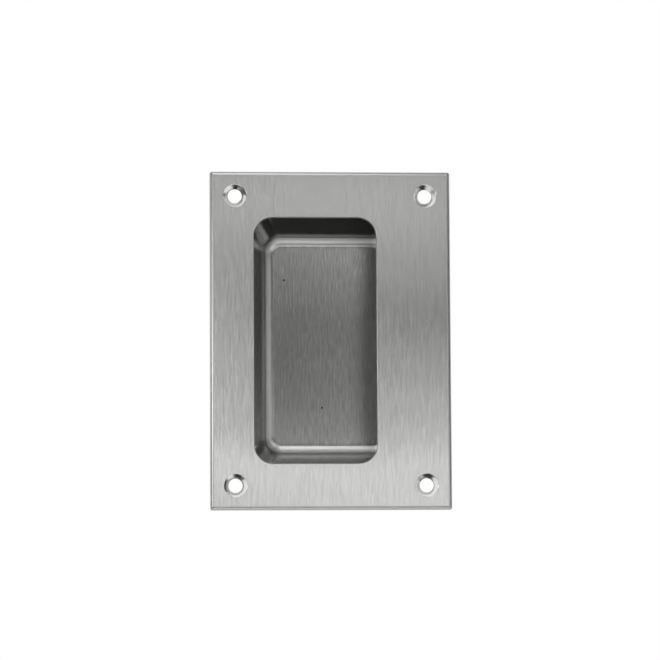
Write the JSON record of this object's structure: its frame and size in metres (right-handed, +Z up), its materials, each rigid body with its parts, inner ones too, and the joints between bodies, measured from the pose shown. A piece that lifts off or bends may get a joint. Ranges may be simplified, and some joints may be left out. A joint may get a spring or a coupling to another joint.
{
  "type": "recessed pull handle",
  "caption": "Recessed pull for a flush or sliding door: a windowed plate with countersunk screw holes and a deep drawn cup behind it that undercuts one side as a grip lip.",
  "frame": {"origin": "centre of the screw holes, in the plane of the plate's back face, which is the door's surface", "axes": "+Z up, -Y out of the door towards the person, +X towards the side where the cup runs on behind the grip lip"},
  "size_m": [0.089, 0.0254, 0.125],
  "materials": {
    "plate": "satin stainless steel, brushed along its length",
    "cup": "drawn stainless sheet, brushed along its length"
  },
  "bodies": {
    "root": {"face_plate": "plate", "recess_cup": "cup"}
  },
  "joints": []
}
